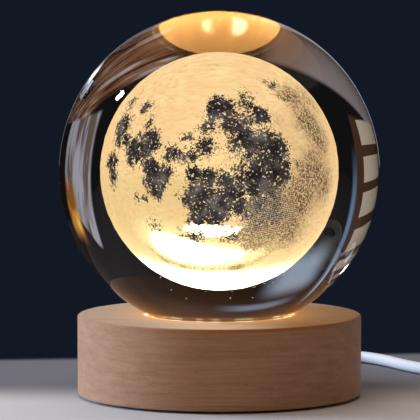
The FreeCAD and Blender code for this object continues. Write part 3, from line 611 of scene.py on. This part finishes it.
CORD_DIAMETER = 0.003
CORD_TO_SWITCH = [
    (0.0, 0.0425, 0.0052), (0.0, 0.048, 0.0052), (0.0016, 0.0556, 0.0028), (0.0066, 0.0626, 0.0016),
    (0.014, 0.0676, 0.0016), (0.0245, 0.0698, 0.0016), (0.0372, 0.0694, 0.0016), (0.0444, 0.0602, 0.0016),
    (0.0492, 0.0488, 0.0016), (0.0552, 0.0386, 0.0016), (0.0598, 0.032, 0.0016), (0.063, 0.0262, 0.0028),
    (0.064, 0.0206, 0.005), (0.064, 0.016, 0.005)]
CORD_TO_COIL = [
    (0.064, -0.022, 0.005), (0.064, -0.0264, 0.005), (0.0652, -0.0326, 0.003), (0.0706, -0.0376, 0.0017),
    (0.0794, -0.0384, 0.0018), (0.0882, -0.0358, 0.0021), (0.093, -0.0358, 0.0021)]
CORD_TAIL = [
    (0.093, 0.0098, 0.00555), (0.0884, 0.0098, 0.00555), (0.081, 0.012, 0.0032), (0.076, 0.0186, 0.0017),
    (0.0754, 0.0274, 0.0017), (0.0774, 0.0348, 0.0026), (0.078, 0.0394, 0.0039), (0.078, 0.0436, 0.0039)]
COIL_CENTRE = Vector((0.096, -0.013, 0))
COIL_RADIUS = 0.0228
COIL_TURNS = 3                  # in each of its two layers
COIL_PITCH = 0.00345
COIL_FLOOR = 0.0021
COIL_STEPS = 12                 # points for each half turn


def coil_points():
    """The wound length: half turns that draw in on the lower layer, climb, and spread on the upper one."""
    half_turns = 2 * COIL_TURNS
    radii = [COIL_RADIUS - COIL_PITCH / 2 * min(number, 2 * half_turns - number)
             for number in range(2 * half_turns + 1)]
    outward = 1 / math.cos(math.pi / 2 / COIL_STEPS)
    across = COIL_RADIUS
    direction = -1
    for number, radius in enumerate(radii):
        for step in range(COIL_STEPS):
            angle = math.pi * (step + 0.5) / COIL_STEPS
            climb = 0.0 if number < half_turns else 1.0
            if number == half_turns:
                climb = (1 - math.cos(angle)) / 2
            middle = across + direction * radius
            yield (COIL_CENTRE.x - direction * radius * outward * math.sin(angle),
                   COIL_CENTRE.y - middle + direction * radius * outward * math.cos(angle),
                   COIL_FLOOR + COIL_PITCH * climb)
        across += direction * 2 * radius
        direction = -direction


def free_cord(name, points, stands_for):
    """A round white cord along one smooth line."""
    line = bpy.data.curves.new(name, "CURVE")
    line.dimensions = "3D"
    line.bevel_depth = CORD_DIAMETER / 2
    line.bevel_resolution = 4
    line.resolution_u = 8
    route = line.splines.new("NURBS")
    route.points.add(len(points) - 1)
    for point, place in zip(route.points, points):
        point.co = (*place, 1.0)
    route.order_u = 3
    route.use_endpoint_u = True
    return show(line, name, "base", "cord_white", stands_for)


lead_to_switch = free_cord("lead_to_switch", CORD_TO_SWITCH, ["cord_to_switch"])
lead_to_plug = free_cord("lead_to_plug", CORD_TO_COIL + list(coil_points()) + CORD_TAIL,
                         ["cord_to_coil", "cord_coil", "cord_tail"])


# ---- Glass ball ----

BALL_DIVISIONS = 7
MOON_DIVISIONS = 6
RELIEF_DEPTH = 0.00022
RELIEF_SIZE = 0.0011
CRACKS = 34
CRACK_RADII = (0.00003, 0.00006)
CRACK_REACH = 0.011             # from the moon's axis
CRACK_GAP = 0.0003              # the least from the moon down to a crack
CRACK_FALL = 0.0022             # how much further down they go


def ball_of(radius, divisions):
    shape = bmesh.new()
    bmesh.ops.create_icosphere(shape, subdivisions=divisions, radius=radius)
    bmesh.ops.translate(shape, verts=shape.verts, vec=BALL_CENTRE)
    return shape


def roughen(piece, depth, size):
    """A cloudy relief, half of it in and half of it out."""
    clouds = bpy.data.textures.new(piece.name + "_relief", "CLOUDS")
    clouds.noise_scale = size
    clouds.noise_depth = 3
    relief = piece.modifiers.new("relief", "DISPLACE")
    relief.texture = clouds
    relief.texture_coords = "LOCAL"
    relief.strength = depth
    relief.mid_level = 0.5


def stray_cracks(count, seed=11):
    """Tiny bright flaws that hang in the glass just under the moon, where the laser strayed."""
    chance = random.Random(seed)
    shape = bmesh.new()
    for _ in range(count):
        turn = math.radians(chance.uniform(0, 360))
        reach = CRACK_REACH * math.sqrt(chance.random())
        below = math.sqrt(MOON_RADIUS ** 2 - reach ** 2) + CRACK_GAP + CRACK_FALL * chance.random() ** 4
        place = BALL_CENTRE + Vector((reach * math.cos(turn), reach * math.sin(turn), -below))
        bmesh.ops.create_icosphere(shape, subdivisions=1, radius=chance.uniform(*CRACK_RADII),
                                   matrix=Matrix.Translation(place))
    # They take the moon's finish, and with it its painted glow
    show(meshed(shape, "stray_cracks"), "stray_cracks", "ball", "moon_engraving")


glass = meshed(ball_of(BALL_RADIUS, BALL_DIVISIONS), "glass_ball")
show(glass, "glass_ball", "ball", "crystal_glass", ["crystal_ball"])
engraving = meshed(ball_of(MOON_RADIUS, MOON_DIVISIONS), "moon")
moon = show(engraving, "moon", "ball", "moon_engraving", ["engraved_moon"])
roughen(moon, RELIEF_DEPTH, RELIEF_SIZE)
stray_cracks(CRACKS)


# ---- Wooden base ----

EDGE_ROUND = 0.0006
BASE_STEPS = 192


def wooden_base():
    shape = turned([
        (REBATE_RADIUS, WOOD_FOOT), (BASE_RADIUS, WOOD_FOOT), (BASE_RADIUS, WOOD_TOP), (SEAT_RIM, WOOD_TOP),
        (WELL_RADIUS, WOOD_TOP - SEAT_DEPTH), (WELL_RADIUS, BOARD_TOP), (POCKET_RADIUS, BOARD_TOP),
        (POCKET_RADIUS, COVER_TOP), (REBATE_RADIUS, COVER_TOP)], BASE_STEPS)
    outer = BASE_RADIUS * 0.995
    soften(shape, EDGE_ROUND, sharp=60, segments=4, keep=lambda edge: edge.verts[0].co.xy.length > outer)
    return show(meshed(shape, "turned_base"), "turned_base", "base", "turned_beech", ["wood_base"])


even_shading(wooden_base())


# ---- Small fittings, their moulded edges rounded ----

def refined(node, name, width):
    """A node's shape, merged and with its sharp edges rounded."""
    shape = bmesh.new()
    shape.from_mesh(frame["nodes"][node].data)
    bmesh.ops.remove_doubles(shape, verts=shape.verts, dist=1e-6)
    bmesh.ops.dissolve_limit(shape, angle_limit=math.radians(1.0), verts=shape.verts, edges=shape.edges)
    soften(shape, width, segments=2)
    data = meshed(shape, name)
    data.materials.clear()
    piece = show(data, name, NODE_BODY[node], NODE_SLOT[node], [node])
    even_shading(piece)
    return piece


grommet = refined("cord_grommet", "grommet", 0.00025)
lower_shell = refined("switch_lower_shell", "switch_lower", 0.0003)
upper_shell = refined("switch_upper_shell", "switch_upper", 0.0003)
rocker = refined("switch_rocker", "rocker", 0.0003)
grip = refined("plug_grip", "grip", 0.0003)
shell = refined("plug_shell", "plug_sleeve", 0.00012)
strap = refined("coil_strap", "strap", 0.00015)
refined("bottom_cover", "cover", 0.0002)
pad = refined("anti_slip_pad", "foam_pad", 0.0002)

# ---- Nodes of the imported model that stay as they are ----

for node, solid in frame["nodes"].items():
    if not solid.hide_render:
        solid.data.materials.clear()
        solid.data.materials.append(finishes[NODE_SLOT[node]])

# ---- Stage ----

ROOM_COLOUR = screen(18, 25, 37)
ROOM_IN_GLASS = screen(17, 16, 17)
ROOM_LIGHT = (0.168, 0.110, 0.080, 1)
TABLE_HALF = 3.0
TABLE_EDGE = 0.074              # where the table gives way to the room, at 50 mm to the left of the lamp
TABLE_SLANT = 0.125
TABLE_LIGHT, TABLE_CLOUD = screen(213, 212, 210), screen(203, 202, 199)
# Painted shade on the table's far part
TABLE_PAINTED_SHADE = screen(120, 119, 122)
TABLE_MIRRORED = screen(74, 66, 62)
GLASS_TABLE = 42.0              # mm that the table goes on further back, as the glass shows it
GLASS_TABLE_FAR = (170.0, 185.0)        # mm from the lamp's foot: the glass shows the room past these
# Light and shade painted on the table as the glass shows it
GLASS_TABLE_TINT, GLASS_TABLE_LEFT = screen(128, 98, 76), screen(134, 125, 119)
GLASS_STREAKS = [(0.36, screen(58, 31, 17)), (0.45, screen(118, 80, 53)), (0.56, screen(138, 104, 78)),
                 (0.62, screen(186, 172, 164))]


def toward(azimuth, elevation):
    """A direction in degrees, from +Y towards +X and up."""
    turn, rise = math.radians(azimuth), math.radians(elevation)
    return Vector((math.sin(turn) * math.cos(rise), math.cos(turn) * math.cos(rise), math.sin(rise)))


def table_finish():
    """A pale table whose far edge gives way to a dark room, in the view and in the glass alike."""
    finish = Finish("table", {"Roughness": 0.8, "Specular IOR Level": 0.0, "Emission Strength": 1.0})
    spot, across, along, _ = finish.place_mm()
    seen = finish.node("LightPath", output="Is Camera Ray")
    through = finish.node("LightPath", output="Is Transmission Ray")
    mirrored = finish.node("LightPath", output="Is Glossy Ray") * (1 - through)

    cloud = finish.noise(finish.place((14, 14, 14)), 1.0, 2.0)
    pale = finish.blend(cloud, TABLE_LIGHT, TABLE_CLOUD)
    # Painted shade: the table turns darker further back
    painted_shade_further_back = finish.step(along + (cloud - 0.5) * 16.0, -18.0, 24.0)
    pale = finish.blend(painted_shade_further_back, pale, TABLE_PAINTED_SHADE)

    # The glass shows it upside down, with light and shade painted on: greyer and lit to the left of the lamp,
    # shaded and streaked with brown to the right
    streaks = finish.noise(finish.vector("MULTIPLY", spot, (0.020, 0.11, 1.0)), 1.0, 2.0, 0.5)
    right_hand = finish.step(across, -10.0, 8.0)
    left_hand = finish.step(across, -20.0, -60.0) * through
    in_glass = finish.blend(left_hand, GLASS_TABLE_TINT, GLASS_TABLE_LEFT)
    in_glass = finish.blend(right_hand * through, in_glass, finish.ramp(streaks, GLASS_STREAKS))
    pale = finish.blend(through, pale, in_glass)
    # Painted shade: darker where the glass mirrors the table
    pale = finish.blend(mirrored * 0.75, pale, TABLE_MIRRORED)

    # Past the table's edge the dark room takes over, and in the glass straight behind the ball a painted shadow
    # in the room's colour does too
    edge = TABLE_EDGE / MM + through * GLASS_TABLE + (across + 50.0) * TABLE_SLANT
    beyond = finish.step(along, edge - 5, edge + 5)
    # Painted shadow behind the ball, shown only in the glass
    painted_shadow_behind_ball = finish.step(along, 34.0, 44.0) * finish.step(across, -25.0, -14.0)
    painted_shadow_behind_ball = painted_shadow_behind_ball * finish.step(across, 24.0, 14.0)
    beyond = beyond.at_least(painted_shadow_behind_ball * through)
    finish.feed("Base Color", finish.blend(beyond, pale, (0, 0, 0, 1)))
    finish.feed("Emission Color", finish.lit(finish.blend(seen, ROOM_IN_GLASS, ROOM_COLOUR), beyond))

    far_off = finish.step(finish.length(spot), *GLASS_TABLE_FAR) * through
    clear = finish.node("BsdfTransparent")
    mixed = finish.node("MixShader", None, {0: far_off, 2: clear})
    finish.tree.links.new(finish.shader.outputs[0], mixed.socket.node.inputs[1])
    finish.tree.links.new(mixed.socket, finish.tree.nodes["Material Output"].inputs["Surface"])
    return finish.material


def make_table():
    shape = bmesh.new()
    bmesh.ops.create_grid(shape, x_segments=1, y_segments=1, size=TABLE_HALF)
    data = meshed(shape, "table")
    data.materials.append(table_finish())
    table = bpy.data.objects.new("table", data)
    bpy.context.scene.collection.objects.link(table)


def room_light():
    """A dim even room; what the glass and the camera see of it is dark."""
    world = bpy.data.worlds.new("room")
    bpy.context.scene.world = world
    world.use_nodes = True
    tree = world.node_tree
    path = tree.nodes.new("ShaderNodeLightPath")
    shown = tree.nodes.new("ShaderNodeMix")
    shown.data_type = "RGBA"
    shown.inputs[6].default_value = ROOM_IN_GLASS
    shown.inputs[7].default_value = ROOM_COLOUR
    tree.links.new(path.outputs["Is Camera Ray"], shown.inputs[0])
    mix = tree.nodes.new("ShaderNodeMix")
    mix.data_type = "RGBA"
    mix.inputs[7].default_value = ROOM_LIGHT
    tree.links.new(path.outputs["Is Diffuse Ray"], mix.inputs[0])
    tree.links.new(shown.outputs[2], mix.inputs[6])
    tree.links.new(mix.outputs[2], tree.nodes["Background"].inputs["Color"])


def panel_finish(name, colour, second=None, soft=0.02, folds=0.0, taper=0.0):
    """A glowing panel with soft edges, with upright folds of a second colour, and narrowing upwards."""
    finish = Finish(name, {"Base Color": (0, 0, 0, 1), "Specular IOR Level": 0.0, "Roughness": 1.0,
                           "Emission Color": colour, "Emission Strength": 1.0})
    spot = finish.place()
    across, up = (finish.maths("ABSOLUTE", finish.dot(spot, axis)) for axis in ((1, 0, 0), (0, 1, 0)))
    edge = finish.step(across, 1.0, 1.0 - soft) * finish.step(up, 1.0, 1.0 - soft)
    if taper:
        narrowed = finish.step(finish.dot(spot, (0, 1, 0)), 0.25, 1.05) * taper
        edge = edge * finish.step(finish.dot(spot, (1, 0, 0)) + 1 - narrowed, 0.0, 0.14)
    finish.feed("Alpha", edge)
    if second:
        wave = finish.noise(finish.vector("MULTIPLY", spot, (folds, 0.9, 1.0)), 1.0, 3.0, 0.6)
        finish.feed("Emission Color", finish.blend(finish.step(wave, 0.42, 0.60), colour, second))
    return finish.material


def panel(name, azimuth, elevation, width, height, distance, material, mirrored):
    """A panel that only the glass shows: refracted, or mirrored on its surface. Its place and size are
    angles as seen from the ball's centre."""
    shape = bmesh.new()
    bmesh.ops.create_grid(shape, x_segments=1, y_segments=1, size=1.0)
    data = meshed(shape, name)
    data.materials.append(material)
    card = bpy.data.objects.new(name, data)
    heading = toward(azimuth, elevation)
    card.location = BALL_CENTRE + heading * distance
    card.rotation_euler = heading.to_track_quat("Z", "Y").to_euler()
    card.scale = (*(distance * math.tan(math.radians(angle / 2)) for angle in (width, height)), 1)
    bpy.context.scene.collection.objects.link(card)
    card.visible_camera = card.visible_diffuse = card.visible_shadow = False
    card.visible_glossy = mirrored
    card.visible_transmission = not mirrored


# The panels' finishes: their light's colour, and what else panel_finish takes
PANEL_FINISHES = {
    "brown_wall": ((0.055, 0.026, 0.015, 1), {"soft": 0.05}),
    "pane": ((0.42, 0.35, 0.27, 1), {"soft": 0.06}),
    "blue_strip": ((0.12, 0.21, 0.34, 1), {"soft": 0.8}),
    "pale_strip": ((0.46, 0.56, 0.70, 1), {"soft": 0.9}),
    "dusk": ((0.28, 0.34, 0.43, 1), {"soft": 0.75}),
    "low_dusk": ((0.15, 0.20, 0.28, 1), {"soft": 0.8}),
    "far_glint": ((9.0, 9.0, 9.0, 1), {"soft": 0.5}),
    "high_wall": ((0.016, 0.018, 0.022, 1), {"soft": 0.6}),
    "curtain": ((0.36, 0.36, 0.42, 1),
                {"second": (0.12, 0.085, 0.065, 1), "soft": 0.10, "folds": 2.2, "taper": 1.75}),
    "amber": ((0.72, 0.30, 0.04, 1), {"second": (0.30, 0.11, 0.015, 1), "soft": 0.6, "folds": 0.5}),
    "amber_glow": ((1.0, 0.60, 0.16, 1), {"soft": 0.95}),
    "right_rim": ((0.42, 0.42, 0.46, 1), {"soft": 0.5}),
    "left_rim": ((0.20, 0.21, 0.24, 1), {"soft": 0.5}),
    "upper_glint": ((3.2, 3.2, 3.3, 1), {"soft": 0.4})}
# The panels: name, azimuth, elevation, width, height, distance and finish
PANELS = [
    ("brown_wall", -64, 14, 42, 80, 0.9, "brown_wall"),
    ("pane_0", -65, -15, 28, 8.6, 0.85, "pane"),
    ("pane_1", -65, -3, 28, 8.6, 0.85, "pane"),
    ("pane_2", -65, 8.5, 28, 8.6, 0.85, "pane"),
    ("pane_3", -65, 21, 28, 8.6, 0.85, "pane"),
    ("pane_4", -65, 31, 28, 5.0, 0.85, "pane"),
    ("blue_strip", -43.6, 20, 5.0, 64, 0.9, "blue_strip"),
    ("pale_strip", -44.2, 36, 2.4, 30, 0.85, "pale_strip"),
    ("dusk", -26, 27, 25, 25, 0.9, "dusk"),
    ("low_dusk", -16, 42, 30, 7, 0.9, "low_dusk"),
    ("sliver", -68, 37.5, 16, 2.6, 0.84, "pane"),
    ("lower_sliver", -70, 43, 14, 2.2, 0.84, "pane"),
    ("far_glint", -73.5, 36, 11.5, 4.6, 0.8, "far_glint"),
    ("high_wall", -5, 50, 60, 30, 0.95, "high_wall"),
    ("curtain", 52.5, -9, 28, 62, 0.9, "curtain"),
    ("amber", 58.5, 11, 17, 25, 0.85, "amber"),
    ("amber_glow", 54.5, 15, 7, 9, 0.8, "amber_glow")]
MIRRORED_PANELS = [
    ("right_rim", 9, 0, 10, 70, 0.9, "right_rim"),
    ("left_rim", -9, 6, 8, 50, 0.9, "left_rim"),
    ("upper_glint_0", -15.2, 8.2, 4.0, 3.2, 0.85, "upper_glint"),
    ("upper_glint_1", -18.0, 10.1, 4.0, 3.2, 0.85, "upper_glint"),
    ("upper_glint_2", -20.8, 12.0, 4.0, 3.2, 0.85, "upper_glint")]


def make_room():
    """What stands round the lamp: dim walls, a paned window to the left, and pale hangings to the right."""
    made = {name: panel_finish(name, colour, **settings)
            for name, (colour, settings) in PANEL_FINISHES.items()}
    for panels, mirrored in ((PANELS, False), (MIRRORED_PANELS, True)):
        for *place, finish in panels:
            panel(*place, made[finish], mirrored)


def softbox(name, azimuth, elevation, distance, size, power, colour, glint=False):
    """A soft light for everything but the glass, or a small one that only the glass shows."""
    light = bpy.data.lights.new(name, "AREA")
    light.shape = "RECTANGLE"
    light.size, light.size_y = size
    light.energy = power
    light.color = colour
    stand = bpy.data.objects.new(name, light)
    heading = toward(azimuth, elevation)
    stand.location = BALL_CENTRE + heading * distance
    stand.rotation_euler = heading.to_track_quat("Z", "Y").to_euler()
    stand.visible_diffuse = not glint
    stand.visible_glossy = stand.visible_transmission = glint
    bpy.context.scene.collection.objects.link(stand)


make_table()
room_light()
make_room()
softbox("key", azimuth=-75, elevation=11, distance=1.1, size=(0.5, 0.5), power=15.2, colour=(0.77, 1.0, 1.40))
softbox("overhead", azimuth=-70, elevation=83, distance=1.5, size=(1.2, 1.2), power=11.5,
        colour=(1.0, 0.97, 1.0))
softbox("front_fill", azimuth=-140, elevation=15, distance=1.2, size=(0.6, 0.6), power=1.3,
        colour=(1.0, 0.68, 0.48))
softbox("glint", azimuth=-76, elevation=36, distance=1.0, size=(0.06, 0.09), power=4.0,
        colour=(1.0, 1.0, 1.0), glint=True)
lead_to_switch.visible_transmission = False     # the cord would show across the bright cap
